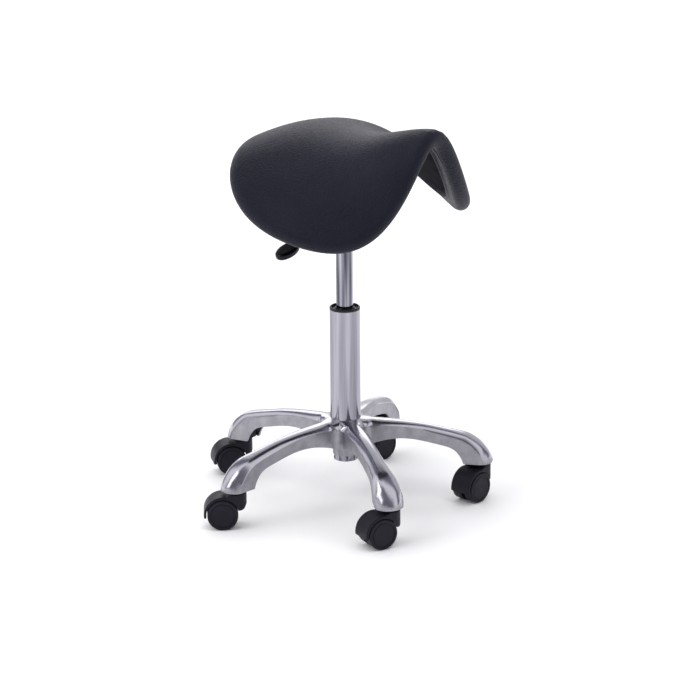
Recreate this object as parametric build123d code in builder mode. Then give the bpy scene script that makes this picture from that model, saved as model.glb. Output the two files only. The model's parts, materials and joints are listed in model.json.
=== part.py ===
from build123d import *
from math import cos, hypot, pi, radians, sin, sqrt, tan
import os

# Dentist stool: saddle seat on a gas lift, five-star base on twin-wheel casters.
# Millimetres and degrees. The origin is on the floor under the column, +Z is up,
# the seat's pommel points to -Y and the rider's right is -X.

# ---- Saddle pad: its middle surface ----
PAD_HALF_THICK = 14.0       # the pad's edge is fully rounded with this radius
CREST_HEIGHT = 605.0        # crest of the middle surface at the column
CREST_TERMS = (-2.4, 43.0, 53.0, -68.0)   # rise along the seat, powers of station / REACH
REACH = 190.0               # station at which the shape values below are given
FLAP_SLOPE = (0.01, 0.60, 1.15)          # limiting side slope in radians: rear, middle, pommel
FLAP_BEND = (157.0, 117.0, 18.7)         # how far from the crest the slope builds up
PAD_HALF_LENGTH = 150.0
PAD_MIDDLE = 19.0           # station of the outline's middle, ahead of the column
PAD_HALF_ARC = 232.0        # half width, measured round the surface
OUTLINE_TERMS = (0.01, 0.21, 0.39)       # makes the pommel end blunter than the rear

# ---- Saddle pad: its layers ----
SKIN = 2.0
PAN_THICK = 8.0
PAN_MARGIN = 15.5           # from the pad's edge to the pan's edge
WINDOW_MARGIN = 20.0        # from the pad's edge to the end of the wrapped cover
WINDOW_DEPTH = 8.0          # how far the window's cutter reaches past the cover's inside
TRIM_WIDTH = 3.0
TRIM_PROUD = 1.0
LAYER_GAP = 0.3

# ---- Mounting plate and lever ----
PLATE_DROP = 24.0           # plate top under the pan, at the crest
PLATE_THICK = 3.0
PLATE_X, PLATE_Y = 146.0, 124.0
PLATE_CORNER = 14.0
POCKET_X, POCKET_Y, POCKET_DEPTH = 92.0, 58.0, 36.0
POCKET_CORNER = 8.0
BOLT_X, BOLT_Y = 60.0, 48.0
BOLT_R = 3.0
BOSS_R = 10.0
INSERT_R, INSERT_LENGTH = 5.0, 11.0
WASHER_R, WASHER_THICK = 6.0, 1.6
BOLT_HEAD_WIDTH, BOLT_HEAD_THICK = 10.0, 4.0
PIVOT_X = -30.0             # lever pivot, measured from the column
LEVER_DROP = 10.0           # lever's middle under the plate's top
LEVER_R = 4.0
LEVER_EYE_R, LEVER_EYE_WIDTH = 7.0, 14.0
PIN_R = 3.0
LEVER_GAP = 0.3             # presser above the release button
PADDLE_LENGTH, PADDLE_WIDTH, PADDLE_THICK = 48.0, 32.0, 11.0
PADDLE_X, PADDLE_Z = -149.0, 457.0       # centre of the paddle
PADDLE_TILT = 16.0

# ---- Gas lift ----
TUBE_R, TUBE_WALL = 25.0, 2.0
NECK_R = 19.8
TUBE_FOOT_Z, TUBE_TOP_Z = 69.0, 326.0
NECK_TOP_Z, FLARE_TOP_Z = 120.0, 138.0
FLOOR_RECESS, FLOOR_WALL = 4.0, 3.0
NOTCH_COUNT, NOTCH_WIDTH, NOTCH_HEIGHT = 8, 4.5, 4.0
COLUMN_R, COLUMN_WALL = 14.0, 2.0
COLUMN_FOOT_Z = 237.0
BUSH_FOOT_Z, COLLAR_HEIGHT = 240.0, 4.0
RUNNING_GAP = 0.05
TAPER_LENGTH = 38.0
TAPER_ANGLE = 1.43
BUTTON_R, BUTTON_PROUD = 4.0, 9.7
BUTTON_DOME_R = 5.0
ROD_R, ROD_TAIL_R = 5.0, 4.0
BORE_R = 9.0                # bore of the inner tube
RACE_R, RACE_THICK = 14.0, 2.6
BALL_R, BALL_CIRCLE_R, BALL_COUNT = 1.6, 9.0, 10
BUMPER_HEIGHT = 8.0

# ---- Five-star base ----
ARM_COUNT = 5
FIRST_ARM_ANGLE = -53.6     # heading of arm 1, from +X; the arms follow clockwise
CASTER_CIRCLE_R = 220.0
RIM_Z = 62.8                # flat lower rim of the arm ends
ARM_WALL = 4.0
SHOE_HALF_WIDTH = 24.0
SHOE_NOSE = 22.0            # from the caster's axis to the arm's tip
SHOE_FOOT_R = 193.0         # where the flat rim starts
WEB_R = 14.0                # rounding between neighbouring arms
SHOULDER_R = 5.0
HUB_TOP_Z = 141.0
HUB_CURVE = ((21.5, 78.5), (21.5, 112), (28.5, 137))       # radius and height up the hub's outside
ARM_SIDE = ((0, 19), (60, 17.5), (100, 15), (150, 15.2), (185, 17.5))    # half width along the arm
CREST_CURVE = (             # radius and height along the top of an arm
    (30, 139.8), (50, 137.8), (75, 135.6), (100, 132.9), (130, 128.2), (160, 121.2),
    (186, 114.2), (204, 107.5), (221, 96), (233, 82),
)
BELLY_CURVE = (             # radius and height along its lower edge, from the rim inwards
    (192, 68), (188, 76), (180, 85.5), (171, 90.8), (160, 94.2), (145, 98), (126, 102.7),
    (111, 105.6), (97, 107), (83, 107), (71, 105.8), (60, 103.5), (48, 100), (36, 94.5),
    (27, 87.5), (22.5, 86),
)
BOSS_OUTER_R, BOSS_FOOT_Z = 12.0, 72.5   # boss that holds a caster socket
SOCKET_R, SOCKET_TOP_Z = 8.0, 79.0
SOCKET_WIDTH = 20.0

# ---- Casters ----
TRAIL_ANGLES = (174.7, 155.7, 129.7, 139.7, 171.7)   # heading of each caster's trail, from +X
TRAIL = 20.0
WHEEL_R = 25.0
WHEEL_INNER, WHEEL_OUTER = 3.6, 21.0     # wheel faces from the caster's middle
TREAD_R = 2.5
HOOD_R, HOOD_GAP = 30.5, 1.5
HOOD_HALF_WIDTH = 19.0
HOOD_TOP_Z, HOOD_BACK, HOOD_BACK_Z = 60.0, 19.0, 32.5
HOOD_EDGE_R = 2.0
WEB_HALF, WEB_DISC_R = 3.0, 19.0
STEM_R, STEM_FOOT_Z, STEM_TOP_Z = 5.5, 49.0, 78.0
STEM_COLLAR_R = 9.0
AXLE_R, AXLE_HALF = 4.0, 16.8

os.makedirs("parts", exist_ok=True)


def write(piece, name):
    piece.label = name
    export_step(piece, f"parts/{name}.step")


# ================= Saddle surface =================
# A station runs along the seat, positive to the pommel. An arc is measured across the
# seat, round the surface, from the crest. An offset is along the surface's normal.


def through(values, n):
    """Quadratic through three values: rear at n = -1, middle at 0, pommel at 1."""
    rear, middle, front = values
    return middle + (front - rear) / 2 * n + ((front + rear) / 2 - middle) * n * n


def crest_height(station):
    n = station / REACH
    return CREST_HEIGHT + sum(term * n ** (power + 1) for power, term in enumerate(CREST_TERMS))


def side_slope(station, arc):
    n = station / REACH
    bend = through(FLAP_BEND, n)
    return through(FLAP_SLOPE, n) * arc / hypot(arc, bend)


def surface_point(station, arc, offset):
    """X and Z of a point of the pad, in the vertical plane at this station."""
    steps = 24
    step = arc / steps
    slopes = [side_slope(station, (i + 0.5) * step) for i in range(steps)]
    x = step * sum(cos(slope) for slope in slopes)
    z = crest_height(station) - step * sum(sin(slope) for slope in slopes)
    slope = side_slope(station, arc)
    return x + offset * sin(slope), z + offset * cos(slope)


def outline(angle, margin):
    """Station and half arc width of the pad's outline, this margin inside its edge."""
    c = cos(angle)
    k1, k2, k3 = OUTLINE_TERMS
    station = PAD_MIDDLE + (PAD_HALF_LENGTH + PAD_HALF_THICK - margin) * c
    blunt = 1 + k1 * c + k2 * c * c + k3 * c ** 3
    return station, (PAD_HALF_ARC + PAD_HALF_THICK - margin) * sin(angle) * blunt


def edge_distance(station, arc, margin):
    points = [outline(pi * i / 360, margin) for i in range(361)]
    return min(hypot(station - s, abs(arc) - a) for s, a in points)


def rounded_half(distance, radius):
    """Half thickness of a fully rounded edge, at this distance inside it."""
    inside = min(distance, radius)
    return sqrt(radius * radius - (radius - inside) ** 2)


SECTION_ANGLES = [radians(a) for a in (172, 160, 145, 127, 108, 89, 71, 55, 40, 27, 16, 8)]
ARC_STEPS = 16


def across(half_arc):
    """Arcs from edge to edge, closer together towards the edges."""
    return [half_arc * sin(pi * (i / ARC_STEPS - 0.5)) for i in range(ARC_STEPS + 1)]


def rounded_section(angle, margin):
    """Closed section of the pad with rounded edges, as a sketch outline."""
    station, half_arc = outline(angle, margin)
    radius = PAD_HALF_THICK - margin
    arcs = across(half_arc)
    inner = [rounded_half(edge_distance(station, arc, margin), radius) for arc in arcs[1:-1]]
    halves = [0, *inner, 0]
    upper = [surface_point(station, arc, half) for arc, half in zip(arcs, halves)]
    lower = [surface_point(station, arc, -half) for arc, half in zip(arcs, halves)]
    return station, upper, lower


def layer_section(angle, margin, low, high):
    """Closed section of a layer with square edges, between two offsets."""
    station, half_arc = outline(angle, margin)
    arcs = across(half_arc)
    upper = [surface_point(station, arc, high) for arc in arcs]
    lower = [surface_point(station, arc, low) for arc in arcs]
    return station, upper, lower


def pad_loft(sections):
    """Solid through the sections, each drawn in the upright plane at its station."""
    with BuildPart() as body:
        for station, upper, lower in sections:
            with BuildSketch(Plane.XZ.offset(station)):
                with BuildLine():
                    Spline(*upper)
                    if hypot(upper[0][0] - lower[0][0], upper[0][1] - lower[0][1]) > 0.01:
                        Line(upper[0], lower[0])
                        Line(upper[-1], lower[-1])
                    Spline(*lower)
                make_face()
        loft()
    return body.part


def rounded_pad(margin):
    return pad_loft([rounded_section(angle, margin) for angle in SECTION_ANGLES])


def layer(margin, low, high):
    return pad_loft([layer_section(angle, margin, low, high) for angle in SECTION_ANGLES])


core_low = SKIN - PAD_HALF_THICK
pan_high = core_low + PAN_THICK

skin_outer = rounded_pad(0)
core = rounded_pad(SKIN)
window = layer(WINDOW_MARGIN, -PAD_HALF_THICK - 6, core_low + WINDOW_DEPTH)
pan_space = layer(PAN_MARGIN, -PAD_HALF_THICK - 6, pan_high)
pan_shell = layer(PAN_MARGIN + LAYER_GAP, core_low + LAYER_GAP, pan_high - LAYER_GAP)
trim_low = -PAD_HALF_THICK - TRIM_PROUD
trim_outer = layer(WINDOW_MARGIN + LAYER_GAP, trim_low, core_low)
trim_inner = layer(WINDOW_MARGIN + TRIM_WIDTH, trim_low - 4, core_low + 4)

with BuildPart() as seat_cover:
    add(skin_outer)
    add(core, mode=Mode.SUBTRACT)
    add(window, mode=Mode.SUBTRACT)
write(seat_cover.part, "seat_cover")

with BuildPart() as seat_foam:
    add(core)
    add(pan_space, mode=Mode.SUBTRACT)
write(seat_foam.part, "seat_foam")

with BuildPart() as edge_trim:
    add(trim_outer)
    add(trim_inner, mode=Mode.SUBTRACT)
write(edge_trim.part, "edge_trim")

# ================= Heights under the seat =================

pan_foot_z = CREST_HEIGHT + core_low
plate_z = pan_foot_z - PLATE_DROP           # top of the mounting plate
plate_foot_z = plate_z - PLATE_THICK
pocket_foot_z = plate_z - POCKET_DEPTH
lever_z = plate_z - LEVER_DROP
button_top_z = lever_z - LEVER_R - LEVER_GAP
column_top_z = button_top_z - BUTTON_PROUD
bolt_places = [(x, y) for x in (-BOLT_X, BOLT_X) for y in (-BOLT_Y, BOLT_Y)]


def pan_height(x, y):
    """Height of the middle of the pan's thickness above a point."""
    arc = abs(x)
    for _ in range(4):
        reached, height = surface_point(-y, arc, core_low + PAN_THICK / 2)
        arc += abs(x) - reached
    return height


def turned(*points):
    """Solid of revolution about the column from its half section, given as R, Z points."""
    with BuildPart() as body:
        with BuildSketch(Plane.XZ):
            with BuildLine():
                Polyline(*points, close=True)
            make_face()
        revolve(axis=Axis.Z)
    return body.part


def ring(inner_r, outer_r, low, high):
    return turned((inner_r, low), (outer_r, low), (outer_r, high), (inner_r, high))


def disc(radius, low, high):
    return turned((0, low), (radius, low), (radius, high), (0, high))


# ================= Seat pan and its fasteners =================

with BuildPart() as seat_pan:
    add(pan_shell)
    for x, y in bolt_places:
        with BuildSketch(Plane.XY.offset(plate_z)):
            with Locations((x, y)):
                Circle(BOSS_R)
        extrude(amount=pan_height(x, y) - plate_z)
    with BuildSketch(Plane.XY.offset(plate_z)):
        with Locations(*bolt_places):
            Circle(INSERT_R)
    extrude(amount=INSERT_LENGTH, mode=Mode.SUBTRACT)
write(seat_pan.part, "seat_pan")

with BuildPart() as tee_nuts:
    with BuildSketch(Plane.XY.offset(plate_z)):
        with Locations(*bolt_places):
            Circle(INSERT_R)
            Circle(BOLT_R, mode=Mode.SUBTRACT)
    extrude(amount=INSERT_LENGTH)
write(tee_nuts.part, "tee_nuts")

with BuildPart() as spring_washers:
    with BuildSketch(Plane.XY.offset(plate_foot_z - WASHER_THICK)):
        with Locations(*bolt_places):
            Circle(WASHER_R)
            Circle(BOLT_R + 0.1, mode=Mode.SUBTRACT)
            Rectangle(WASHER_R, 0.8, align=(Align.MIN, Align.CENTER), mode=Mode.SUBTRACT)
    extrude(amount=WASHER_THICK)
write(spring_washers.part, "spring_washers")

with BuildPart() as seat_bolts:
    head_z = plate_foot_z - WASHER_THICK
    with BuildSketch(Plane.XY.offset(head_z - BOLT_HEAD_THICK)):
        with Locations(*bolt_places):
            RegularPolygon(BOLT_HEAD_WIDTH / 2, 6, major_radius=False)
    extrude(amount=BOLT_HEAD_THICK)
    with BuildSketch(Plane.XY.offset(head_z)):
        with Locations(*bolt_places):
            Circle(BOLT_R)
    extrude(amount=WASHER_THICK + PLATE_THICK + INSERT_LENGTH - 1)
write(seat_bolts.part, "seat_bolts")

# ================= Mounting plate and taper socket =================

socket_r = COLUMN_R + 3.5
socket_foot_z = column_top_z - TAPER_LENGTH + 3
socket_top_z = column_top_z - 2
taper_gap = 0.02


def taper_r(z):
    """Radius of the lift's upper taper."""
    return COLUMN_R - max(0.0, z - (column_top_z - TAPER_LENGTH)) * tan(radians(TAPER_ANGLE))


with BuildPart() as seat_plate:
    with BuildSketch(Plane.XY.offset(plate_foot_z)):
        RectangleRounded(PLATE_X, PLATE_Y, PLATE_CORNER)
    extrude(amount=PLATE_THICK)
    with BuildSketch(Plane.XY.offset(pocket_foot_z)):
        RectangleRounded(POCKET_X, POCKET_Y, POCKET_CORNER)
    extrude(amount=POCKET_DEPTH)
    with BuildSketch(Plane.XY.offset(pocket_foot_z + PLATE_THICK)):
        inner_x, inner_y = POCKET_X - 2 * PLATE_THICK, POCKET_Y - 2 * PLATE_THICK
        RectangleRounded(inner_x, inner_y, POCKET_CORNER - PLATE_THICK)
    extrude(amount=POCKET_DEPTH, mode=Mode.SUBTRACT)
    with BuildSketch(Plane.XY.offset(pocket_foot_z)):
        Circle(socket_r)
    extrude(amount=PLATE_THICK, mode=Mode.SUBTRACT)
    with BuildSketch(Plane.XY.offset(plate_foot_z)):
        with Locations(*bolt_places):
            Circle(BOLT_R + 0.3)
    extrude(amount=PLATE_THICK, mode=Mode.SUBTRACT)
    with BuildSketch(Plane.XZ):
        with Locations((PIVOT_X, lever_z)):
            Circle(PIN_R)
    extrude(amount=POCKET_Y, both=True, mode=Mode.SUBTRACT)
    with BuildSketch(Plane.YZ.offset(-POCKET_X / 2)):
        with Locations((0, lever_z - 1)):
            RectangleRounded(14, 17, 4)
    extrude(amount=PLATE_THICK, mode=Mode.SUBTRACT)
write(seat_plate.part, "seat_plate")

taper_socket = turned(
    (taper_r(socket_foot_z) + taper_gap, socket_foot_z),
    (socket_r, socket_foot_z),
    (socket_r, socket_top_z),
    (taper_r(socket_top_z) + taper_gap, socket_top_z),
)
write(taper_socket, "taper_socket")

# ================= Lever =================

pin_half = POCKET_Y / 2 + 2
with BuildPart() as lever_pin:
    with BuildSketch(Plane.XZ):
        with Locations((PIVOT_X, lever_z)):
            Circle(PIN_R)
    extrude(amount=pin_half, both=True)
    with BuildSketch(Plane.XZ.offset(POCKET_Y / 2)):
        with Locations((PIVOT_X, lever_z)):
            Circle(PIN_R + 1.5)
    extrude(amount=2)
write(lever_pin.part, "lever_pin")

paddle_slope = tan(radians(PADDLE_TILT))
knee_x = PADDLE_X + PADDLE_LENGTH / 2 + 15
rod_end_x = PADDLE_X + PADDLE_LENGTH / 4
lever_path = [
    (7, lever_z),
    (PIVOT_X - 22, lever_z),
    (knee_x, PADDLE_Z + (knee_x - PADDLE_X) * paddle_slope),
    (rod_end_x, PADDLE_Z + (rod_end_x - PADDLE_X) * paddle_slope),
]
with BuildPart() as lever_rod:
    with BuildLine(Plane.XZ):
        FilletPolyline(*lever_path, radius=13)
    with BuildSketch(Plane(origin=(7, 0, lever_z), z_dir=(-1, 0, 0))):
        Circle(LEVER_R)
    sweep()
    with BuildSketch(Plane.XZ):
        with Locations((PIVOT_X, lever_z)):
            Circle(LEVER_EYE_R)
    extrude(amount=LEVER_EYE_WIDTH / 2, both=True)
    with BuildSketch(Plane.XZ):
        with Locations((PIVOT_X, lever_z)):
            Circle(PIN_R + RUNNING_GAP)
    extrude(amount=LEVER_EYE_WIDTH, both=True, mode=Mode.SUBTRACT)
write(lever_rod.part, "lever_rod")

tilt = radians(PADDLE_TILT)
paddle_plane = Plane(
    origin=(PADDLE_X, 0, PADDLE_Z),
    x_dir=(-cos(tilt), 0, -sin(tilt)),
    z_dir=(-sin(tilt), 0, cos(tilt)),
)
with BuildPart() as lever_paddle:
    with BuildSketch(paddle_plane):
        Ellipse(PADDLE_LENGTH / 2, PADDLE_WIDTH / 2)
        with Locations((-PADDLE_LENGTH / 2, 0)):
            Rectangle(PADDLE_LENGTH / 2, 15, align=(Align.MIN, Align.CENTER))
    extrude(amount=PADDLE_THICK / 2, both=True)
    fillet(lever_paddle.edges().group_by(Axis((0, 0, 0), paddle_plane.z_dir))[-1], radius=4.5)
    fillet(lever_paddle.edges().group_by(Axis((0, 0, 0), paddle_plane.z_dir))[0], radius=4.5)
    add(lever_rod.part, mode=Mode.SUBTRACT)
write(lever_paddle.part, "lever_paddle")

# ================= Gas lift =================

floor_z = TUBE_FOOT_Z + FLOOR_RECESS        # underside of the tube's end wall
race_z = floor_z + FLOOR_WALL
ball_z = race_z + RACE_THICK + 1.0
upper_race_z = ball_z + 1.0
bumper_z = upper_race_z + RACE_THICK

with BuildPart() as stand_tube:
    add(turned(
        (ROD_TAIL_R + 1, floor_z),
        (NECK_R - TUBE_WALL, floor_z),
        (NECK_R - TUBE_WALL, TUBE_FOOT_Z),
        (NECK_R, TUBE_FOOT_Z),
        (NECK_R, NECK_TOP_Z),
        (TUBE_R, FLARE_TOP_Z),
        (TUBE_R, TUBE_TOP_Z),
        (TUBE_R - TUBE_WALL, TUBE_TOP_Z),
        (TUBE_R - TUBE_WALL, FLARE_TOP_Z + 1),
        (NECK_R - TUBE_WALL, NECK_TOP_Z + 1),
        (NECK_R - TUBE_WALL, race_z),
        (ROD_TAIL_R + 1, race_z),
    ))
    with BuildSketch(Plane.XY.offset(floor_z - NOTCH_HEIGHT + 2)):
        with PolarLocations(NECK_R, NOTCH_COUNT, start_angle=FIRST_ARM_ANGLE + 20):
            Rectangle(2.4, NOTCH_WIDTH)
    extrude(amount=NOTCH_HEIGHT, mode=Mode.SUBTRACT)
write(stand_tube.part, "stand_tube")

bush_r = TUBE_R - TUBE_WALL - taper_gap
bush_bore = COLUMN_R + RUNNING_GAP
collar_z = TUBE_TOP_Z + COLLAR_HEIGHT
guide_bush = turned(
    (bush_bore, BUSH_FOOT_Z),
    (bush_r, BUSH_FOOT_Z),
    (bush_r, TUBE_TOP_Z),
    (TUBE_R - 0.2, TUBE_TOP_Z),
    (TUBE_R - 0.2, collar_z - 1),
    (TUBE_R - 1.2, collar_z),
    (TUBE_R - 3, collar_z),
    (TUBE_R - 3, collar_z - 3),
    (COLUMN_R + 2, collar_z - 3),
    (COLUMN_R + 2, collar_z - 1),
    (bush_bore, collar_z - 1),
)
write(guide_bush, "guide_bush")

column_bore = COLUMN_R - COLUMN_WALL
taper_foot_z = column_top_z - TAPER_LENGTH
pressure_cylinder = turned(
    (ROD_R + 3, COLUMN_FOOT_Z),
    (COLUMN_R - 1, COLUMN_FOOT_Z),
    (COLUMN_R, COLUMN_FOOT_Z + 1.5),
    (COLUMN_R, taper_foot_z),
    (taper_r(column_top_z), column_top_z),
    (BUTTON_R + RUNNING_GAP, column_top_z),
    (BUTTON_R + RUNNING_GAP, column_top_z - 3),
    (column_bore - 1, column_top_z - 3),
    (column_bore - 1, taper_foot_z),
    (column_bore, taper_foot_z - 1),
    (column_bore, COLUMN_FOOT_Z + 1.5),
    (ROD_R + 3, COLUMN_FOOT_Z + 1.5),
)
write(pressure_cylinder, "pressure_cylinder")

seal_z = COLUMN_FOOT_Z + 1.5
guide_z = seal_z + 3
guide_top_z = guide_z + 12
valve_z = column_top_z - 26
valve_top_z = column_top_z - 3
button_low_z = button_top_z - BUTTON_PROUD - 6
inner_tube_r = BORE_R + 1.2
write(ring(ROD_R + 0.03, column_bore - taper_gap, seal_z, guide_z), "rod_seal")
write(ring(ROD_R + RUNNING_GAP, column_bore - taper_gap, guide_z, guide_top_z), "rod_guide")
write(ring(BORE_R, inner_tube_r, guide_top_z, valve_z), "inner_tube")

valve_body = turned(
    (2 + RUNNING_GAP, valve_z),
    (column_bore - 1.1, valve_z),
    (column_bore - 1.1, valve_top_z),
    (BUTTON_R + RUNNING_GAP, valve_top_z),
    (BUTTON_R + RUNNING_GAP, button_low_z - 6),
    (2 + RUNNING_GAP, button_low_z - 6),
)
write(valve_body, "valve_body")

with BuildPart() as release_button:
    with BuildSketch(Plane.XZ):
        with BuildLine():
            dome_drop = BUTTON_DOME_R - sqrt(BUTTON_DOME_R ** 2 - BUTTON_R ** 2)
            Polyline(
                (0, button_top_z),
                (0, valve_z + 6),
                (2, valve_z + 6),
                (2, button_low_z),
                (BUTTON_R, button_low_z),
                (BUTTON_R, button_top_z - dome_drop),
            )
            RadiusArc((BUTTON_R, button_top_z - dome_drop), (0, button_top_z), -BUTTON_DOME_R)
        make_face()
    revolve(axis=Axis.Z)
write(release_button.part, "release_button")

piston_z = guide_top_z + 6
piston_top_z = piston_z + 12
seal_groove_z = piston_z + 4.5
rod_foot_z = floor_z - 3.2
clip_z = floor_z - 2.4
clip_thick = 1.2
with BuildPart() as piston_rod:
    add(turned(
        (0, rod_foot_z),
        (ROD_TAIL_R, rod_foot_z),
        (ROD_TAIL_R, clip_z),
        (ROD_TAIL_R - 0.8, clip_z),
        (ROD_TAIL_R - 0.8, clip_z + clip_thick),
        (ROD_TAIL_R, clip_z + clip_thick),
        (ROD_TAIL_R, bumper_z),
        (ROD_R, bumper_z),
        (ROD_R, piston_z),
        (3, piston_z),
        (3, piston_top_z + 2),
        (0, piston_top_z + 2),
    ))
write(piston_rod.part, "piston_rod")

piston = turned(
    (3, piston_z),
    (BORE_R - RUNNING_GAP, piston_z),
    (BORE_R - RUNNING_GAP, seal_groove_z),
    (BORE_R - 1.6, seal_groove_z),
    (BORE_R - 1.6, seal_groove_z + 2),
    (BORE_R - RUNNING_GAP, seal_groove_z + 2),
    (BORE_R - RUNNING_GAP, piston_top_z),
    (3, piston_top_z),
)
write(piston, "piston")
write(ring(BORE_R - 1.6, BORE_R - 0.03, seal_groove_z + 0.1, seal_groove_z + 1.9), "piston_seal")
write(ring(ROD_R, ROD_R + 6, bumper_z + 0.1, bumper_z + BUMPER_HEIGHT), "rubber_bumper")

with BuildPart() as rod_clip:
    with BuildSketch(Plane.XY.offset(clip_z)):
        Circle(ROD_TAIL_R + 3)
        Circle(ROD_TAIL_R - 0.8, mode=Mode.SUBTRACT)
        with Locations((ROD_TAIL_R, 0)):
            Rectangle(2 * ROD_TAIL_R, 4, mode=Mode.SUBTRACT)
    extrude(amount=clip_thick)
write(rod_clip.part, "rod_clip")

with BuildPart() as ball_track:
    with BuildSketch(Plane.XZ):
        with Locations((BALL_CIRCLE_R, ball_z)):
            Circle(BALL_R + RUNNING_GAP)
    revolve(axis=Axis.Z)

with BuildPart() as thrust_race_lower:
    add(ring(ROD_TAIL_R + 0.8, RACE_R, race_z, race_z + RACE_THICK))
    add(ball_track.part, mode=Mode.SUBTRACT)
write(thrust_race_lower.part, "thrust_race_lower")

with BuildPart() as thrust_race_upper:
    add(ring(ROD_TAIL_R, RACE_R, upper_race_z, upper_race_z + RACE_THICK))
    add(ball_track.part, mode=Mode.SUBTRACT)
write(thrust_race_upper.part, "thrust_race_upper")

with BuildPart() as thrust_balls:
    with Locations(Location((0, 0, ball_z))):
        with PolarLocations(BALL_CIRCLE_R, BALL_COUNT):
            Sphere(BALL_R)
write(thrust_balls.part, "thrust_balls")

# ================= Five-star base =================

arm_angles = [FIRST_ARM_ANGLE - i * 360 / ARM_COUNT for i in range(ARM_COUNT)]
stem_places = [(CASTER_CIRCLE_R * cos(radians(a)), CASTER_CIRCLE_R * sin(radians(a))) for a in arm_angles]
tip_r = CASTER_CIRCLE_R + SHOE_NOSE
crest_points = [(0, HUB_TOP_Z), *CREST_CURVE, (tip_r, RIM_Z + 2)]


def lowered(points, depth):
    """The points of a falling curve moved inwards along its normal."""
    moved = []
    for before, point, after in zip(points, points[1:], points[2:]):
        run, fall = after[0] - before[0], before[1] - after[1]
        length = hypot(run, fall)
        moved.append((point[0] - depth * fall / length, point[1] - depth * run / length))
    return moved


def star_side(crest, rim_z, belly):
    """Body of revolution between a crest curve, a flat rim and a belly curve."""
    with BuildPart() as body:
        with BuildSketch(Plane.XZ):
            with BuildLine():
                Spline(*crest)
                Polyline(crest[-1], (crest[-1][0], rim_z), belly[0])
                Spline(*belly)
                Polyline(belly[-1], (0, belly[-1][1]), (0, crest[0][1]), crest[0])
            make_face()
        revolve(axis=Axis.Z)
    return body.part


def star_plan(inset):
    """Upright prism over the plan of the arms, this far inside their sides."""
    side = [(x, half - inset) for x, half in ARM_SIDE] + [(CASTER_CIRCLE_R, SHOE_HALF_WIDTH - inset)]
    with BuildSketch() as arm:
        with BuildLine():
            Spline(*side)
            nose = EllipticalCenterArc(
                (CASTER_CIRCLE_R, 0), SHOE_NOSE - inset, SHOE_HALF_WIDTH - inset, start_angle=0, arc_size=90
            )
            Polyline(nose @ 0, (0, 0), side[0])
        make_face()
        mirror(about=Plane.XZ)
    with BuildSketch(Plane.XY) as plan:
        for angle in arm_angles:
            add(arm.sketch, rotation=angle)
        fillet([v for v in plan.vertices() if NECK_R < hypot(v.X, v.Y) < 3 * NECK_R], radius=WEB_R + inset)
    with BuildPart() as body:
        with BuildSketch(Plane.XY.offset(RIM_Z - 20)):
            add(plan.sketch)
        extrude(amount=HUB_TOP_Z)
    return body.part


hub = turned((0, HUB_CURVE[0][1]), *HUB_CURVE, (0, HUB_CURVE[-1][1]))

with BuildPart() as star_hollow:
    hollow_crest = lowered(crest_points, ARM_WALL)
    hub_edge = HUB_CURVE[0][0] - 1
    add(star_side(hollow_crest, RIM_Z - 10, [(150, RIM_Z - 10), (hub_edge, RIM_Z - 10)]))
    add(star_plan(ARM_WALL), mode=Mode.INTERSECT)
    add(hub, mode=Mode.SUBTRACT)
    with BuildSketch(Plane.XY.offset(BOSS_FOOT_Z)):
        with Locations(*stem_places):
            Circle(BOSS_OUTER_R)
    extrude(amount=HUB_TOP_Z - BOSS_FOOT_Z, mode=Mode.SUBTRACT)

with BuildPart() as star_base:
    add(star_side(crest_points[1:], RIM_Z, [(SHOE_FOOT_R, RIM_Z), *BELLY_CURVE]))
    add(star_plan(0), mode=Mode.INTERSECT)
    crown = [f for f in star_base.faces() if f.normal_at().Z > 0.4 and f.center().Z > 80]
    walls = [e for f in star_base.faces() if abs(f.normal_at().Z) < 0.05 for e in f.edges()]
    fillet([e for f in crown for e in f.edges() if e in walls], radius=SHOULDER_R)
    add(star_hollow.part, mode=Mode.SUBTRACT)
    add(hub)
    with BuildSketch(Plane.XY.offset(BOSS_FOOT_Z)):
        with Locations(*stem_places):
            Circle(SOCKET_R)
    extrude(amount=SOCKET_TOP_Z - BOSS_FOOT_Z, mode=Mode.SUBTRACT)
    add(turned(
        (0, RIM_Z),
        (NECK_R + taper_gap, RIM_Z),
        (NECK_R + taper_gap, NECK_TOP_Z),
        (TUBE_R + taper_gap, FLARE_TOP_Z),
        (TUBE_R + taper_gap, HUB_TOP_Z + 5),
        (0, HUB_TOP_Z + 5),
    ), mode=Mode.SUBTRACT)
write(star_base.part, "star_base")

# ================= Casters =================

collar_foot_z = HOOD_TOP_Z + 0.4
socket_low_z = RIM_Z + 0.7
socket_back = SHOE_FOOT_R + 3 - CASTER_CIRCLE_R
inner_r = WHEEL_R + HOOD_GAP
wheel_axis = (TRAIL, WHEEL_R)


def hood_point(radius, angle):
    return TRAIL + radius * cos(radians(angle)), WHEEL_R + radius * sin(radians(angle))


with BuildPart() as socket:
    with BuildSketch(Plane.XY.offset(socket_low_z)):
        Circle(BOSS_OUTER_R - 3)
        Rectangle(-socket_back, SOCKET_WIDTH, align=(Align.MAX, Align.CENTER))
    extrude(amount=BOSS_FOOT_Z - 0.2 - socket_low_z)
    with BuildSketch(Plane.XY.offset(BOSS_FOOT_Z - 0.2)):
        Circle(SOCKET_R - 0.05)
        with Locations((socket_back, 0)):
            Rectangle(-socket_back - BOSS_OUTER_R - 1, SOCKET_WIDTH, align=(Align.MIN, Align.CENTER))
    extrude(amount=SOCKET_TOP_Z - BOSS_FOOT_Z)
    chamfer(socket.edges().group_by(Axis.X)[0].group_by(Axis.Z)[-1], length=4)
    with BuildSketch(Plane.XY.offset(socket_low_z)):
        Circle(STEM_R)
    extrude(amount=SOCKET_TOP_Z, mode=Mode.SUBTRACT)

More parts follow.
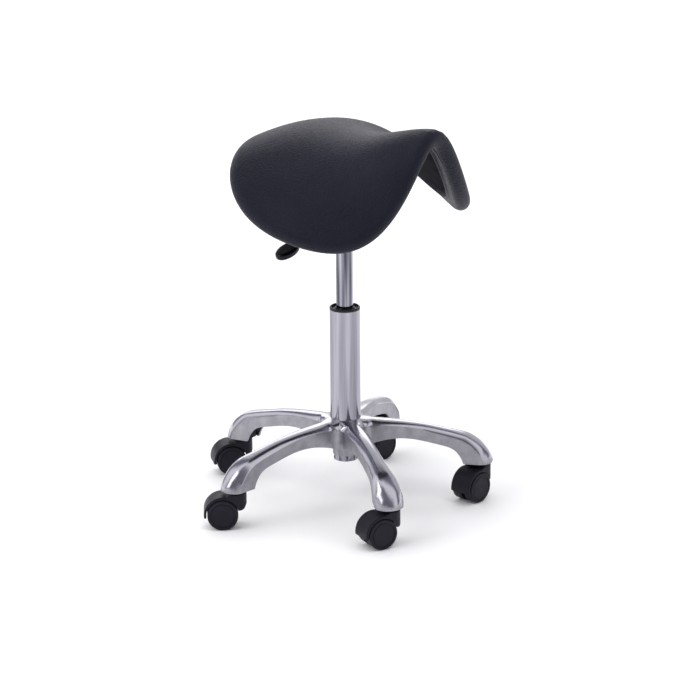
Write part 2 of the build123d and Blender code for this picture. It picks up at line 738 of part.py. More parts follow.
with BuildPart() as stem:
    with BuildSketch(Plane.XY.offset(STEM_FOOT_Z)):
        Circle(STEM_R)
    extrude(amount=STEM_TOP_Z - STEM_FOOT_Z)
    with BuildSketch(Plane.XY.offset(collar_foot_z)):
        Circle(STEM_COLLAR_R)
    extrude(amount=socket_low_z - collar_foot_z)
    chamfer(stem.edges().group_by(Axis.Z)[-1], length=1)
    chamfer(stem.edges().group_by(Axis.Z)[0], length=1)

with BuildPart() as hood:
    with BuildSketch(Plane.XZ):
        with BuildLine():
            ThreePointArc(hood_point(HOOD_R, -8), hood_point(HOOD_R, 50), hood_point(HOOD_R, 100))
            Polyline(
                hood_point(HOOD_R, 100),
                (6, HOOD_TOP_Z),
                (-HOOD_BACK, HOOD_TOP_Z),
                (-HOOD_BACK, HOOD_BACK_Z + 8),
                (-HOOD_BACK + 4, HOOD_BACK_Z + 1.5),
                (-HOOD_BACK + 8, HOOD_BACK_Z),
                hood_point(inner_r, 163),
            )
            ThreePointArc(hood_point(inner_r, 163), hood_point(inner_r, 80), hood_point(inner_r, -8))
            Line(hood_point(inner_r, -8), hood_point(HOOD_R, -8))
        make_face()
    extrude(amount=HOOD_HALF_WIDTH, both=True)
    with BuildSketch():
        Circle(HOOD_BACK)
        Rectangle(TRAIL + HOOD_R, 2 * HOOD_HALF_WIDTH, align=(Align.MIN, Align.CENTER))
    extrude(amount=HOOD_TOP_Z, mode=Mode.INTERSECT)
    crest_edges = [e for e in hood.edges() if hypot(e.center().X - TRAIL, e.center().Z - WHEEL_R) > HOOD_R - 1]
    rims = [e for e in crest_edges if abs(e.center().Y) > HOOD_HALF_WIDTH - 0.1 and e.center().X > 1]
    rims += [e for e in crest_edges if e.center().X < 1 and e.center().Z > HOOD_TOP_Z - 0.1 and e.length > 10]
    fillet(rims, radius=HOOD_EDGE_R)
    with BuildSketch(Plane.XZ):
        with Locations(wheel_axis):
            Circle(WEB_DISC_R)
        with BuildLine():
            Polyline(
                hood_point(inner_r + 1, 163),
                wheel_axis,
                hood_point(inner_r + 1, 100),
                (0, HOOD_TOP_Z - 3),
                close=True,
            )
        make_face()
    extrude(amount=WEB_HALF, both=True)
    with BuildSketch(Plane.XZ):
        with Locations(wheel_axis):
            Circle(AXLE_R)
    extrude(amount=HOOD_HALF_WIDTH, both=True, mode=Mode.SUBTRACT)
    with BuildSketch(Plane.XY.offset(STEM_FOOT_Z - 0.2)):
        Circle(STEM_R + RUNNING_GAP)
    extrude(amount=HOOD_TOP_Z, mode=Mode.SUBTRACT)

with BuildPart() as axle:
    with BuildSketch(Plane.XZ):
        with Locations(wheel_axis):
            Circle(AXLE_R)
    extrude(amount=AXLE_HALF, both=True)
    chamfer(axle.edges().filter_by(GeomType.CIRCLE), length=0.6)

with BuildPart() as wheel:
    with BuildSketch(Plane.XZ.offset(-WHEEL_OUTER)):
        with Locations(wheel_axis):
            Circle(WHEEL_R)
    extrude(amount=WHEEL_OUTER - WHEEL_INNER)
    fillet(wheel.edges().group_by(Axis.Y)[-1], radius=TREAD_R)
    chamfer(wheel.edges().group_by(Axis.Y)[0], length=1)
    with BuildSketch(Plane.XZ.offset(-WHEEL_OUTER)):
        with Locations(wheel_axis):
            Circle(WHEEL_R - 5)
            Circle(WHEEL_R - 6.2, mode=Mode.SUBTRACT)
    extrude(amount=1, mode=Mode.SUBTRACT)
    with BuildSketch(Plane.XZ.offset(-AXLE_HALF - 0.2)):
        with Locations(wheel_axis):
            Circle(AXLE_R + RUNNING_GAP)
    extrude(amount=AXLE_HALF, mode=Mode.SUBTRACT)

far_wheel = wheel.part
near_wheel = mirror(wheel.part, about=Plane.XZ)
for i, (x, y) in enumerate(stem_places):
    arm_place = Location((x, y, 0), (0, 0, arm_angles[i]))
    trail_place = Location((x, y, 0), (0, 0, TRAIL_ANGLES[i]))
    name = f"caster_{i + 1}"
    write(socket.part.moved(arm_place), f"{name}_socket")
    write(stem.part.moved(arm_place), f"{name}_stem")
    write(hood.part.moved(trail_place), f"{name}_hood")
    write(axle.part.moved(trail_place), f"{name}_axle")
    write(near_wheel.moved(trail_place), f"{name}_wheel_near")
    write(far_wheel.moved(trail_place), f"{name}_wheel_far")
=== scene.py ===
import json
from math import atan2, cos, hypot, pi, radians, sin

import bmesh
import bpy
from mathutils import Matrix, Quaternion, Vector


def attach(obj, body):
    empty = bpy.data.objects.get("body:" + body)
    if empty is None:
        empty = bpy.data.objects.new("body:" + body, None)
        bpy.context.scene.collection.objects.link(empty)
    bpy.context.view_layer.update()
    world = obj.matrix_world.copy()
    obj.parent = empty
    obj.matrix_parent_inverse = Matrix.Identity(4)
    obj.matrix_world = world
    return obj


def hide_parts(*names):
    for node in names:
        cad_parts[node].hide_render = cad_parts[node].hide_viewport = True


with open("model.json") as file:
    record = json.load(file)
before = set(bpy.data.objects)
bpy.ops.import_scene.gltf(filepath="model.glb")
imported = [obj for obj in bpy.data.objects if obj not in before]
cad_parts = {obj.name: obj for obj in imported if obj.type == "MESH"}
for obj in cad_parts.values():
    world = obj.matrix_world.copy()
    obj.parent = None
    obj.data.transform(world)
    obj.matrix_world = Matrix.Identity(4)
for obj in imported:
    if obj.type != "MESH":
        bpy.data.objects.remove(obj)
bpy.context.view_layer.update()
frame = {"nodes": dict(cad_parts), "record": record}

# Saddle stool. Metres, the origin on the floor under the column, the pommel towards -Y.

# ================= Camera =================

CAMERA_DISTANCE = 4.5
CAMERA_ELEVATION = radians(17.8)
CAMERA_AZIMUTH = radians(-53.33)      # heading of the picture's right-hand side, from +X
CAMERA_LENS = 142.1
CAMERA_ROLL = -0.0065
CAMERA_TARGET_Z = 0.2552
CAMERA_TARGET_SIDE = 0.008
CAMERA_REACH = 100                    # far clipping distance, past the end of the floor

right = Vector((cos(CAMERA_AZIMUTH), sin(CAMERA_AZIMUTH), 0))
toward = Vector((sin(CAMERA_AZIMUTH), -cos(CAMERA_AZIMUTH), 0))
target = right * CAMERA_TARGET_SIDE + Vector((0, 0, CAMERA_TARGET_Z))
back = toward * cos(CAMERA_ELEVATION) + Vector((0, 0, sin(CAMERA_ELEVATION)))
camera_data = bpy.data.cameras.new("camera")
camera_data.lens = CAMERA_LENS
camera_data.sensor_width = 36
camera_data.clip_end = CAMERA_REACH
camera = bpy.data.objects.new("camera", camera_data)
camera.location = target + back * CAMERA_DISTANCE
camera.rotation_mode = "QUATERNION"
camera.rotation_quaternion = Quaternion(back, CAMERA_ROLL) @ back.to_track_quat("Z", "Y")
bpy.context.scene.collection.objects.link(camera)
bpy.context.scene.camera = camera
bpy.context.scene.view_settings.view_transform = "Standard"

# ================= Nodes =================
# An owner is a material or the world: whatever holds the node tree.


def link(owner, source, target_socket):
    owner.node_tree.links.new(source, target_socket)


def texture_point(owner, kind="Object"):
    return owner.node_tree.nodes.new("ShaderNodeTexCoord").outputs[kind]


def noise(owner, point, scale, detail=3, roughness=0.5):
    node = owner.node_tree.nodes.new("ShaderNodeTexNoise")
    node.inputs["Scale"].default_value = scale
    node.inputs["Detail"].default_value = detail
    node.inputs["Roughness"].default_value = roughness
    link(owner, point, node.inputs["Vector"])
    return node.outputs["Fac"]


def cells(owner, point, scale):
    node = owner.node_tree.nodes.new("ShaderNodeTexVoronoi")
    node.inputs["Scale"].default_value = scale
    link(owner, point, node.inputs["Vector"])
    return node.outputs["Distance"]


def ramp(owner, factor, stops):
    """Colour ramp from (position, colour or grey) stops."""
    node = owner.node_tree.nodes.new("ShaderNodeValToRGB")
    elements = node.color_ramp.elements
    while len(elements) < len(stops):
        elements.new(1)
    for element, (position, colour) in zip(elements, stops):
        element.position = position
        element.color = (*colour, 1) if isinstance(colour, tuple) else (colour, colour, colour, 1)
    link(owner, factor, node.inputs["Fac"])
    return node.outputs["Color"]


def arithmetic(owner, operation, *values):
    """Math node on two values, each a number or a socket."""
    node = owner.node_tree.nodes.new("ShaderNodeMath")
    node.operation = operation
    for socket, value in zip(node.inputs, values):
        if isinstance(value, float):
            socket.default_value = value
        else:
            link(owner, value, socket)
    return node.outputs[0]


def bump(material, shader, height, strength, distance, previous=None):
    node = material.node_tree.nodes.new("ShaderNodeBump")
    node.inputs["Strength"].default_value = strength
    node.inputs["Distance"].default_value = distance
    link(material, height, node.inputs["Height"])
    if previous:
        link(material, previous, node.inputs["Normal"])
    link(material, node.outputs["Normal"], shader.inputs["Normal"])
    return node.outputs["Normal"]


def node_material(name):
    material = bpy.data.materials.new(name)
    material.use_nodes = True
    nodes = material.node_tree.nodes
    nodes.clear()
    output = nodes.new("ShaderNodeOutputMaterial")
    shader = nodes.new("ShaderNodeBsdfPrincipled")
    link(material, shader.outputs[0], output.inputs["Surface"])
    return material, shader


# ================= Light and floor =================

SKY_STRENGTH = 0.44
SKY_NOISE_SCALE = 1.6
SKY_NOISE_SHARE = 0.30                # how far the noise shifts the sky's bands
SKY_SHIFT = 0.35
# From the backdrop, over a dark gap and the ceiling light, to the room behind the viewer.
SKY_STOPS = ((0.20, (1.50, 1.50, 1.55)), (0.30, (0.34, 0.36, 0.50)), (0.37, (0.34, 0.36, 0.50)),
             (0.46, (2.3, 2.3, 2.35)), (0.60, (2.3, 2.3, 2.35)), (0.72, (0.45, 0.45, 0.52)))
SUN_POWER = 2.2
SUN_WIDTH = radians(100)
FLOOR_HALF = 40


def area_light(name, place, aim, size, power):
    data = bpy.data.lights.new(name, "AREA")
    data.shape = "RECTANGLE"
    data.size, data.size_y = size
    data.energy = power
    light = bpy.data.objects.new(name, data)
    light.location = place
    light.rotation_euler = (Vector(aim) - Vector(place)).to_track_quat("-Z", "Y").to_euler()
    bpy.context.scene.collection.objects.link(light)


def place(side, front, height):
    """A point given in the picture's own directions: to its right, towards the viewer, up."""
    return right * side + toward * front + Vector((0, 0, height))


world = bpy.data.worlds.new("studio")
world.use_nodes = True
background = world.node_tree.nodes["Background"]
sky_point = texture_point(world, "Generated")
sky_front = world.node_tree.nodes.new("ShaderNodeVectorMath")
sky_front.operation = "DOT_PRODUCT"
sky_front.inputs[1].default_value = (toward * 0.93 - right * 0.37) * 0.5
link(world, sky_point, sky_front.inputs[0])
sky_spread = arithmetic(world, "MULTIPLY", noise(world, sky_point, SKY_NOISE_SCALE, 1), SKY_NOISE_SHARE)
sky_sum = arithmetic(world, "ADD", sky_front.outputs["Value"], sky_spread)
sky_bands = arithmetic(world, "ADD", sky_sum, SKY_SHIFT)
link(world, ramp(world, sky_bands, SKY_STOPS), background.inputs["Color"])
background.inputs["Strength"].default_value = SKY_STRENGTH
bpy.context.scene.world = world

# A very broad sun stands for the ceiling's soft light. Metal mirrors the sky's bands instead.
sun_data = bpy.data.lights.new("soft_sky", "SUN")
sun_data.energy = SUN_POWER
sun_data.angle = SUN_WIDTH
soft_sky = bpy.data.objects.new("soft_sky", sun_data)
soft_sky.visible_glossy = False
soft_sky.rotation_euler = place(-0.35, -0.25, 1.6).to_track_quat("Z", "Y").to_euler()
bpy.context.scene.collection.objects.link(soft_sky)
area_light("left_light", place(-2.2, 1.2, 1.7), (0, 0, 0.35), (1.5, 2.4), 24)
area_light("rear_light", place(-0.4, -2.8, 1.3), (0, 0, 0.5), (2.6, 0.9), 12)

floor_material, floor_shader = node_material("floor")
floor_point = texture_point(floor_material)
link(floor_material, ramp(floor_material, noise(floor_material, floor_point, 0.4, 2),
                          [(0.3, 0.90), (0.7, 0.93)]), floor_shader.inputs["Base Color"])
floor_shader.inputs["Roughness"].default_value = 0.9
floor_mesh = bpy.data.meshes.new("floor")
floor_mesh.from_pydata(
    [(x, y, 0) for x, y in ((-1, -1), (1, -1), (1, 1), (-1, 1))], [], [(0, 1, 2, 3)])
floor_mesh.transform(Matrix.Scale(FLOOR_HALF, 4))
floor_mesh.materials.append(floor_material)
floor = bpy.data.objects.new("floor", floor_mesh)
bpy.context.scene.collection.objects.link(floor)

# ================= Finishes =================


def leather():
    material, shader = node_material("upholstery")
    point = texture_point(material)
    link(material, ramp(material, noise(material, point, 9, 4),
                        [(0.35, (0.0070, 0.0072, 0.0135)), (0.65, (0.0105, 0.0106, 0.0190))]),
         shader.inputs["Base Color"])
    link(material, ramp(material, noise(material, point, 340), [(0.35, 0.42), (0.65, 0.56)]),
         shader.inputs["Roughness"])
    shader.inputs["Specular IOR Level"].default_value = 0.21
    shader.inputs["Specular Tint"].default_value = (0.80, 0.80, 1.0, 1)
    shader.inputs["Sheen Weight"].default_value = 0.02
    shader.inputs["Sheen Roughness"].default_value = 0.5
    grain = bump(material, shader, cells(material, point, 430), 0.9, 0.0010)
    bump(material, shader, noise(material, point, 1000, 2), 0.4, 0.0003, grain)
    return material


def plastic(name, colour, roughness, relief=0.25, specular=0.22):
    material, shader = node_material(name)
    point = texture_point(material)
    darker = tuple(0.8 * channel for channel in colour)
    lighter = tuple(1.25 * channel for channel in colour)
    link(material, ramp(material, noise(material, point, 25, 4), [(0.35, darker), (0.65, lighter)]),
         shader.inputs["Base Color"])
    link(material, ramp(material, noise(material, point, 120),
                        [(0.3, roughness * 0.88), (0.7, roughness * 1.14)]), shader.inputs["Roughness"])
    shader.inputs["Specular IOR Level"].default_value = specular
    shader.inputs["Specular Tint"].default_value = (0.90, 0.87, 1.0, 1)
    bump(material, shader, noise(material, point, 700, 2), relief, 0.0002)
    return material


def polished_metal(name, colour, roughness):
    material, shader = node_material(name)
    shader.inputs["Metallic"].default_value = 1.0
    point = texture_point(material)
    darker = tuple(0.93 * channel for channel in colour)
    link(material, ramp(material, noise(material, point, 14, 5), [(0.3, darker), (0.7, colour)]),
         shader.inputs["Base Color"])
    link(material, ramp(material, noise(material, point, 60, 6, 0.7),
                        [(0.3, roughness), (0.75, roughness + 0.04)]), shader.inputs["Roughness"])
    bump(material, shader, noise(material, point, 35, 2), 0.04, 0.001)
    return material


def chrome_with_painted_streaks(name, dark, middle, light):
    """Chromed tube whose colour carries soft lengthwise bands: partly the marks left by drawing and
    polishing, mostly painted reflection streaks.
    """
    material, shader = node_material(name)
    shader.inputs["Metallic"].default_value = 1.0
    stretch = material.node_tree.nodes.new("ShaderNodeMapping")
    stretch.inputs["Scale"].default_value = (1, 1, 0.03)
    link(material, texture_point(material), stretch.inputs["Vector"])
    bands = stretch.outputs["Vector"]
    # Painted reflection: the dark, middle and light colour bands stand in for the room mirrored along the
    # tube, with some real polishing marks.
    link(material, ramp(material, noise(material, bands, 95, 2),
                        [(0.36, dark), (0.5, middle), (0.64, light)]), shader.inputs["Base Color"])
    link(material, ramp(material, noise(material, bands, 600), [(0.3, 0.10), (0.7, 0.18)]),
         shader.inputs["Roughness"])
    bump(material, shader, noise(material, bands, 900, 2), 0.05, 0.0003)
    return material


def cast_and_polished(name):
    """Aluminium, polished where the surface faces up and sand-cast on its sides and underneath."""
    material, shader = node_material(name)
    nodes = material.node_tree.nodes
    shader.inputs["Metallic"].default_value = 1.0
    point = texture_point(material)
    geometry = nodes.new("ShaderNodeNewGeometry")
    split = nodes.new("ShaderNodeSeparateXYZ")
    link(material, geometry.outputs["Normal"], split.inputs[0])
    facing = ramp(material, split.outputs["Z"], [(0.12, 0.0), (0.3, 1.0)])

    def by_facing(kind, side, top, target_socket):
        mix = nodes.new("ShaderNodeMix")
        mix.data_type = kind
        link(material, facing, mix.inputs["Factor"])
        link(material, side, mix.inputs["A"])
        link(material, top, mix.inputs["B"])
        link(material, mix.outputs["Result"], target_socket)

    by_facing("RGBA", ramp(material, noise(material, point, 60, 4),
                           [(0.3, (0.30, 0.295, 0.325)), (0.7, (0.40, 0.39, 0.425))]),
              ramp(material, noise(material, point, 14, 4),
                   [(0.3, (0.50, 0.49, 0.54)), (0.7, (0.56, 0.55, 0.61))]), shader.inputs["Base Color"])
    by_facing("FLOAT", ramp(material, noise(material, point, 200), [(0.3, 0.36), (0.7, 0.48)]),
              ramp(material, noise(material, point, 45), [(0.3, 0.19), (0.7, 0.24)]),
              shader.inputs["Roughness"])
    bump(material, shader, noise(material, point, 30, 2), 0.03, 0.002)
    return material


# ================= Saddle surface =================
# A station runs along the seat, positive to the pommel. An arc is measured across the
# seat, round the surface, from the crest. An offset is along the surface's normal.

CREST_HEIGHT = 0.605
CREST_TERMS = (-0.0024, 0.043, 0.053, -0.068)     # rise along the seat, powers of station / REACH
REACH = 0.190                         # station at which the shape values are given
FLAP_SLOPE = (0.01, 0.60, 1.15)       # limiting side slope in radians: rear, middle, pommel
FLAP_BEND = (0.157, 0.117, 0.0187)    # how far from the crest the slope builds up
PAD_HALF_LENGTH = 0.150
PAD_MIDDLE = 0.019
PAD_HALF_ARC = 0.232
OUTLINE_TERMS = (0.01, 0.21, 0.39)    # makes the pommel end blunter than the rear
PAD_HALF_THICK = 0.014
ARC_STEPS = 24
EDGE_POINTS = 180
TOP_INSET = 0.003                     # where the flat top meets the rounded edge
EDGE_STEPS = 18
TOP_RINGS, PANEL_RINGS = 46, 26
PANEL_INSET, PANEL_OFFSET = 0.0225, -0.0105
PANEL_EDGE_INSET, PANEL_EDGE_RISE = 0.0208, 0.0004
# The underside from the rounded edge to the panel: inset, and drop under the pad's face.
WRAPPED_UNDERSIDE = ((0.004, 0), (0.009, 0), (0.0125, 0), (0.0140, 0.0012), (0.0165, 0.0022),
                     (0.0190, 0.0012), (0.0200, -0.001))


def through(values, n):
    rear, middle, front = values
    return middle + (front - rear) / 2 * n + ((front + rear) / 2 - middle) * n * n


def middle_point(station, arc):
    """Point of the pad's middle surface."""
    n = station / REACH
    limit, bend = through(FLAP_SLOPE, n), through(FLAP_BEND, n)
    step = arc / ARC_STEPS
    x, z = 0.0, CREST_HEIGHT + sum(term * n ** (power + 1) for power, term in enumerate(CREST_TERMS))
    for i in range(ARC_STEPS):
        along = (i + 0.5) * step
        slope = limit * along / hypot(along, bend)
        x += step * cos(slope)
        z -= step * sin(slope)
    return Vector((x, -station, z))


def middle_normal(station, arc):
    reach = 0.0005
    along = middle_point(station + reach, arc) - middle_point(station - reach, arc)
    across = middle_point(station, arc + reach) - middle_point(station, arc - reach)
    normal = along.cross(across)
    return normal.normalized() if normal.z > 0 else -normal.normalized()


def outline(angle, inset, part=1.0):
    """Station and arc of the middle surface's edge, moved in by an inset, then scaled to a part."""
    c = cos(angle)
    k1, k2, k3 = OUTLINE_TERMS
    blunt = 1 + k1 * c + k2 * c * c + k3 * c ** 3
    return (PAD_MIDDLE + (PAD_HALF_LENGTH - inset) * part * c,
            (PAD_HALF_ARC - inset) * part * sin(angle) * blunt)


angles = [2 * pi * (i + 0.5) / EDGE_POINTS for i in range(EDGE_POINTS)]


def pad_ring(inset, offset, part=1.0):
    """Closed ring of points inside the middle surface's edge, offset along its normal."""
    ring = []
    for angle in angles:
        station, arc = outline(angle, inset, part)
        ring.append(middle_point(station, arc) + middle_normal(station, arc) * offset)
    return ring


def rounded_edge():
    """Rings round the pad's edge, from its top to its underside."""
    edge = pad_ring(0, 0)
    frames = []
    for i, angle in enumerate(angles):
        normal = middle_normal(*outline(angle, 0))
        along = (edge[(i + 1) % EDGE_POINTS] - edge[i - 1]).normalized()
        outward = along.cross(normal)
        if outward.dot(edge[i] - Vector((0, -PAD_MIDDLE, edge[i].z))) < 0:
            outward = -outward
        frames.append((normal, outward.normalized()))
    rings = []
    for k in range(EDGE_STEPS + 1):
        turn = pi / 2 - pi * k / EDGE_STEPS
        rings.append([point + outward * (PAD_HALF_THICK * cos(turn)) + normal * (PAD_HALF_THICK * sin(turn))
                      for point, (normal, outward) in zip(edge, frames)])
    return rings


def add_piece(name, mesh):
    """Smooth object from a finished bmesh."""
    bmesh.ops.recalc_face_normals(mesh, faces=mesh.faces)
    data = bpy.data.meshes.new(name)
    mesh.to_mesh(data)
    mesh.free()
    for polygon in data.polygons:
        polygon.use_smooth = True
    piece = bpy.data.objects.new(name, data)
    bpy.context.scene.collection.objects.link(piece)
    return piece


def shell_piece(name, rings, first_middle, last_middle):
    """Closed piece through rings of equal length, capped by a point at each end."""
    mesh = bmesh.new()
    rows = [[mesh.verts.new(p) for p in ring] for ring in rings]
    for a, b in zip(rows, rows[1:]):
        for i in range(len(a)):
            j = (i + 1) % len(a)
            mesh.faces.new((a[i], a[j], b[j], b[i]))
    for row, middle in ((rows[0], first_middle), (rows[-1], last_middle)):
        tip = mesh.verts.new(middle)
        for i in range(len(row)):
            mesh.faces.new((row[i], row[(i + 1) % len(row)], tip))
    return add_piece(name, mesh)


def centre(offset):
    return middle_point(PAD_MIDDLE, 0) + middle_normal(PAD_MIDDLE, 0) * offset


rings = [pad_ring(TOP_INSET, PAD_HALF_THICK, (i + 1) / TOP_RINGS) for i in range(TOP_RINGS)]
rings += rounded_edge()
rings += [pad_ring(inset, -PAD_HALF_THICK - drop) for inset, drop in WRAPPED_UNDERSIDE]
rings += [pad_ring(PANEL_EDGE_INSET, PANEL_OFFSET + PANEL_EDGE_RISE)]
rings += [pad_ring(PANEL_INSET, PANEL_OFFSET, 1 - i / PANEL_RINGS) for i in range(PANEL_RINGS)]
upholstery = shell_piece("saddle_upholstery", rings, centre(PAD_HALF_THICK), centre(PANEL_OFFSET))
upholstery.data.materials.append(leather())
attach(upholstery, "seat")
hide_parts("seat_cover", "seat_foam")

# ================= Star base =================
# Millimetres here. Each half arm is a set of rows running out from the column. A row goes from
# the arm's crest, given by (radius, height), to its edge, given by (x, y, height).

MM = 0.001
ARM_ANGLES = [radians(-53.6 - 72 * i) for i in range(5)]
HALF_SECTOR = pi / 5
CASTER_CIRCLE = 220
CREST = ((25.2, 141.2), (30, 140.0), (50, 137.8), (75, 135.6), (100, 132.9), (130, 128.2), (160, 121.4),
         (186, 115.0), (204, 109.2), (221, 98.4), (233, 85.4), (240.5, 72.5), (243, 62.8))
SIDE = ((0, 19), (60, 17.5), (100, 15), (150, 15.2), (185, 17.8), (220, 24))     # half width
# How far the edge lies under the crest.
SHOULDER = ((0, 9.0), (41, 8.8), (60, 6.6), (100, 5.8), (121, 6.6), (140, 7.9), (165, 8.8), (180, 9.2),
            (195, 10.6), (203, 12.6), (211, 16), (219, 21), (224, 27), (229, 35))
BELLY = ((22.5, 86), (27, 87.5), (36, 94.5), (48, 100), (60, 103.5), (71, 105.8), (83, 107), (97, 107),
         (111, 105.6), (126, 102.7), (145, 98), (160, 94.2), (171, 90.8), (180, 85.5), (188, 76), (192, 68),
         (193, 62.8), (242, 62.8))
CROWN_POWER = ((0, 3.0), (170, 3.0), (205, 3.6), (245, 3.8))     # how square the crown's section is
RIM = 62.8                            # height of the flat lower rim under the shoe
SHOE_FOOT = 193                       # where the rim starts
SHOE_START = 200                      # where the side starts to flare to the shoe
SHOE_HALF, NOSE = 24, 22
FLARE_SHARE = 0.4                     # share of the shoe's rows before its nose
NOSE_LEVEL = 225                      # from here on the nose's edge drops only by the shoulder
WEB_R = 14                            # rounding between neighbouring arms
WEB_WIDTH_AT, WEB_BLEND_END = 45, 60
WALL = 4
ROOF = WALL + 2
LEDGE = 0.9                           # the cast side stands back this far under the crown
LEDGE_DROP = 1.2
SKIRT_LEAST = 0.4
INNER_DROP = 5                        # from the edge down to the top of the wall's inside
WEB_ROWS, ARM_ROWS, SHOE_ROWS = 8, 45, 30
ACROSS, ROOF_STEPS, ROUND = 16, 4, 80
NOSE_SAMPLES = 240
HUB = ((25.2, 141.6), (25.2, 138), (21, 120), (20, 112), (20, 78.5), (21.0, 78.5), (21.4, 79), (21.4, 110),
       (24, 122), (29, 133))          # radius and height, down the bore and up the outside
WELD = 0.00002
CREASE = radians(38)


def along_curve(points, x):
    """Smooth curve through points of rising x."""
    if x <= points[0][0]:
        return points[0][1]
    if x >= points[-1][0]:
        return points[-1][1]
    i = max(k for k in range(len(points) - 1) if points[k][0] <= x)
    (x1, y1), (x2, y2) = points[i], points[i + 1]
    x0, y0 = points[i - 1] if i else (2 * x1 - x2, 2 * y1 - y2)
    x3, y3 = points[i + 2] if i + 2 < len(points) else (2 * x2 - x1, 2 * y2 - y1)
    f = (x - x1) / (x2 - x1)
    m1 = (y2 - y0) / (x2 - x0) * (x2 - x1)
    m2 = (y3 - y1) / (x3 - x1) * (x2 - x1)
    return ((2 * f ** 3 - 3 * f ** 2 + 1) * y1 + (f ** 3 - 2 * f ** 2 + f) * m1
            + (3 * f ** 2 - 2 * f ** 3) * y2 + (f ** 3 - f ** 2) * m2)


def smooth_path(points, count):
    """Evenly numbered points on a smooth path through the given ones."""
    numbered = [[(i, p[axis]) for i, p in enumerate(points)] for axis in (0, 1)]
    last = len(points) - 1
    return [tuple(along_curve(axis, last * k / count) for axis in numbered) for k in range(count + 1)]


def arm_rows():
    """Crest point and edge point of every row of half an arm."""
    rows = []
    web_half = along_curve(SIDE, WEB_WIDTH_AT)
    web_centre = (web_half + WEB_R) / sin(HALF_SECTOR)
    web_r = web_centre - WEB_R
    start = CREST[0][0]
    for k in range(WEB_ROWS + 1):
        r = start + (web_r - start) * k / WEB_ROWS
        z = along_curve(CREST, r)
        drop = along_curve(SHOULDER, r) * (k / WEB_ROWS) ** 2
        rows.append(((r, z), (r * cos(HALF_SECTOR), r * sin(HALF_SECTOR), z - drop)))
    tangent_x = web_centre * cos(HALF_SECTOR)
    for k in range(1, WEB_ROWS + 1):
        heading = HALF_SECTOR + pi + (pi / 2 - HALF_SECTOR) * k / WEB_ROWS
        x = tangent_x + WEB_R * cos(heading)
        y = web_centre * sin(HALF_SECTOR) + WEB_R * sin(heading)
        crest_x = web_r + (tangent_x - web_r) * k / WEB_ROWS
        edge_z = along_curve(CREST, hypot(x, y)) - along_curve(SHOULDER, x)
        rows.append(((crest_x, along_curve(CREST, crest_x)), (x, y, edge_z)))
    for k in range(1, ARM_ROWS + 1):
        x = tangent_x + (SHOE_START - tangent_x) * k / ARM_ROWS
        y = along_curve(SIDE, x)
        if x < WEB_BLEND_END:
            y = web_half + (y - web_half) * (x - tangent_x) / (WEB_BLEND_END - tangent_x)
        z = along_curve(CREST, x)
        rows.append(((x, z), (x, y, z - along_curve(SHOULDER, x))))
    nose_crest = [point for point in smooth_path(CREST, NOSE_SAMPLES) if point[0] > SHOE_START]
    for k in range(1, SHOE_ROWS + 1):
        f = k / SHOE_ROWS
        x, z = nose_crest[min(len(nose_crest) - 1, round(f * (len(nose_crest) - 1)))]
        if f < FLARE_SHARE:
            edge_x = SHOE_START + (CASTER_CIRCLE - SHOE_START) * f / FLARE_SHARE
            edge_y = along_curve(SIDE, edge_x)
        else:
            turn = (f - FLARE_SHARE) / (1 - FLARE_SHARE) * pi / 2
            edge_x, edge_y = CASTER_CIRCLE + NOSE * sin(turn), SHOE_HALF * cos(turn)
        edge_z = max(RIM, along_curve(CREST, min(edge_x, NOSE_LEVEL)) - along_curve(SHOULDER, edge_x))
        rows.append(((x, z), (edge_x, max(edge_y, 0.01), edge_z)))
    return rows


def crown_row(row):
    """Points of the crown from its crest to its edge."""
    (crest_x, crest_z), (edge_x, edge_y, edge_z) = row
    edge_r, edge_heading = hypot(edge_x, edge_y), atan2(edge_y, edge_x)
    power = along_curve(CROWN_POWER, crest_x)
    points = []
    for k in range(ACROSS + 1):
        t = k / ACROSS
        r = crest_x + (edge_r - crest_x) * t * t
        z = crest_z + (edge_z - crest_z) * t ** power
        points.append((r * cos(edge_heading * t), r * sin(edge_heading * t), z))
    return points


def skirt_row(edges, i):
    """Points down the arm's cast side, round its lower rim and up the wall's inside."""
    x, y, z = edges[i]
    before, after = edges[max(i - 1, 0)], edges[min(i + 1, len(edges) - 1)]
    run = Vector((after[0] - before[0], after[1] - before[1], 0)).normalized()
    inward = Vector((run.y, -run.x, 0))
    if i == 0:
        inward = Vector((-cos(HALF_SECTOR), -sin(HALF_SECTOR), 0))
    if i == len(edges) - 1:
        inward = Vector((-1, 0, 0))
    low = along_curve(BELLY, hypot(x, y)) if x < SHOE_FOOT else RIM
    low = min(low, z - SKIRT_LEAST)
    foot = Vector((x, y, 0)) + inward * LEDGE
    inner = Vector((x, y, 0)) + inward * (WALL + LEDGE)
    for point in (foot, inner):
        point.y = max(point.y, 0.0)
    step = min(LEDGE_DROP, z - low)
    return [(x, y, z), (x, y, z - step * 0.35), (foot.x, foot.y, z - step), (foot.x, foot.y, (z + low) / 2),
            (foot.x, foot.y, low), (inner.x, inner.y, low), (inner.x, inner.y, max(z - INNER_DROP, low))]


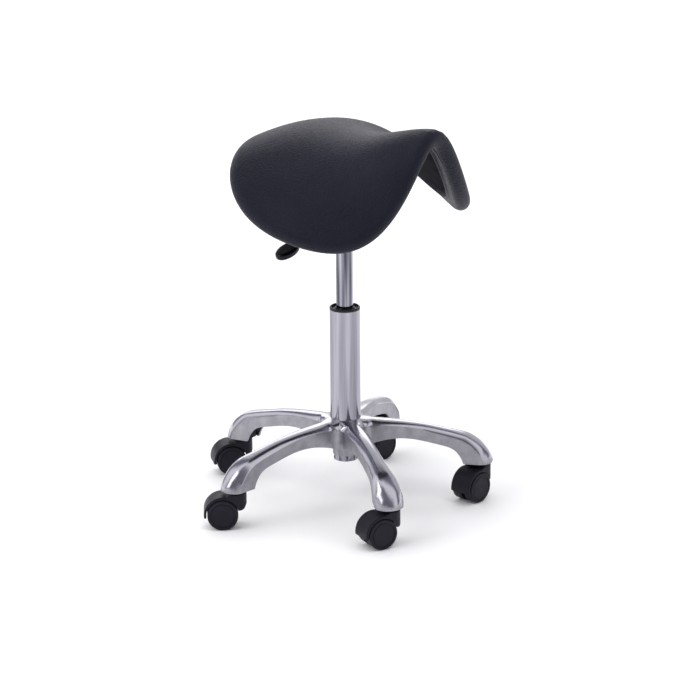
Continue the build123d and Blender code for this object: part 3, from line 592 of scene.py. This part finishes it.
def star_piece():
    mesh = bmesh.new()
    rows = arm_rows()
    edges = [row[1] for row in rows[WEB_ROWS:]]
    nose_inside = CASTER_CIRCLE + NOSE - WALL - LEDGE
    for arm in ARM_ANGLES:
        turned = Matrix.Rotation(arm, 3, "Z")
        for side in (1, -1):

            def vertices(points):
                return [mesh.verts.new(turned @ Vector((x * MM, side * y * MM, z * MM)))
                        for x, y, z in points]

            crowns = [vertices(crown_row(row)) for row in rows]
            skirts = [vertices(skirt_row(edges, i)) for i in range(len(edges))]
            roofs = []
            for i, ((crest_x, crest_z), _) in enumerate(rows):
                if i < WEB_ROWS:
                    headings = [HALF_SECTOR * k / ROOF_STEPS for k in range(ROOF_STEPS + 1)]
                    roof = [(crest_x * cos(h), crest_x * sin(h), crest_z - ROOF) for h in headings]
                else:
                    end = turned.inverted() @ skirts[i - WEB_ROWS][-1].co / MM
                    end.y *= side
                    begin = Vector((min(crest_x, nose_inside), 0, max(crest_z - ROOF, end.z)))
                    roof = [begin.lerp(end, k / ROOF_STEPS) for k in range(ROOF_STEPS + 1)]
                roofs.append(vertices(roof))
            for strip in (crowns, skirts, roofs):
                for a, b in zip(strip, strip[1:]):
                    for k in range(len(a) - 1):
                        mesh.faces.new((a[k], a[k + 1], b[k + 1], b[k]))
    for (r1, z1), (r2, z2) in zip(HUB, HUB[1:]):
        for k in range(ROUND):
            a, b = 2 * pi * k / ROUND, 2 * pi * (k + 1) / ROUND
            corners = [(r1, a, z1), (r1, b, z1), (r2, b, z2), (r2, a, z2)]
            mesh.faces.new([mesh.verts.new((r * cos(t) * MM, r * sin(t) * MM, z * MM))
                            for r, t, z in corners])
    bmesh.ops.remove_doubles(mesh, verts=mesh.verts, dist=WELD)
    piece = add_piece("star_casting", mesh)
    piece.data.set_sharp_from_angle(angle=CREASE)
    return piece


star = star_piece()
star.data.materials.append(cast_and_polished("base_metal"))
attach(star, "base")
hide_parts("star_base")

# ================= Finishes of the hard parts =================

finishes = {
    "shell": plastic("shell", (0.022, 0.0215, 0.026), 0.85, specular=0),
    "edge": plastic("edge", (0.020, 0.020, 0.024), 0.35),
    "fasteners": polished_metal("fasteners", (0.62, 0.62, 0.64), 0.25),
    "mechanism": plastic("mechanism", (0.022, 0.022, 0.024), 0.38),
    "paddle": plastic("paddle", (0.004, 0.004, 0.006), 0.20, relief=0.08),
    # The column's chrome carries painted reflection streaks in its colour.
    "column": chrome_with_painted_streaks("column", (0.24, 0.235, 0.275), (0.31, 0.30, 0.345), (0.41, 0.40, 0.445)),
    "lift_steel": polished_metal("lift_steel", (0.66, 0.66, 0.68), 0.2),
    "lift_polymer": plastic("lift_polymer", (0.018, 0.018, 0.020), 0.42),
    "lift_rubber": plastic("lift_rubber", (0.020, 0.020, 0.020), 0.7),
    "caster_polymer": plastic("caster_polymer", (0.0085, 0.0075, 0.0115), 0.44),
    "wheel_polymer": plastic("wheel_polymer", (0.012, 0.0105, 0.016), 0.52),
    "caster_steel": polished_metal("caster_steel", (0.6, 0.6, 0.62), 0.22),
}
# The lift's chrome has strong painted reflection streaks in its colour: dark and light bands along the
# tube.
lift_chrome = chrome_with_painted_streaks("lift_chrome", (0.07, 0.07, 0.095), (0.22, 0.22, 0.26), (0.52, 0.52, 0.57))
slots = {part["node"]: part["material_slot"] for part in frame["record"]["subparts"]}
for node, piece in frame["nodes"].items():
    if slots[node] in finishes:
        finish = lift_chrome if node == "pressure_cylinder" else finishes[slots[node]]
        piece.data.materials.clear()
        piece.data.materials.append(finish)
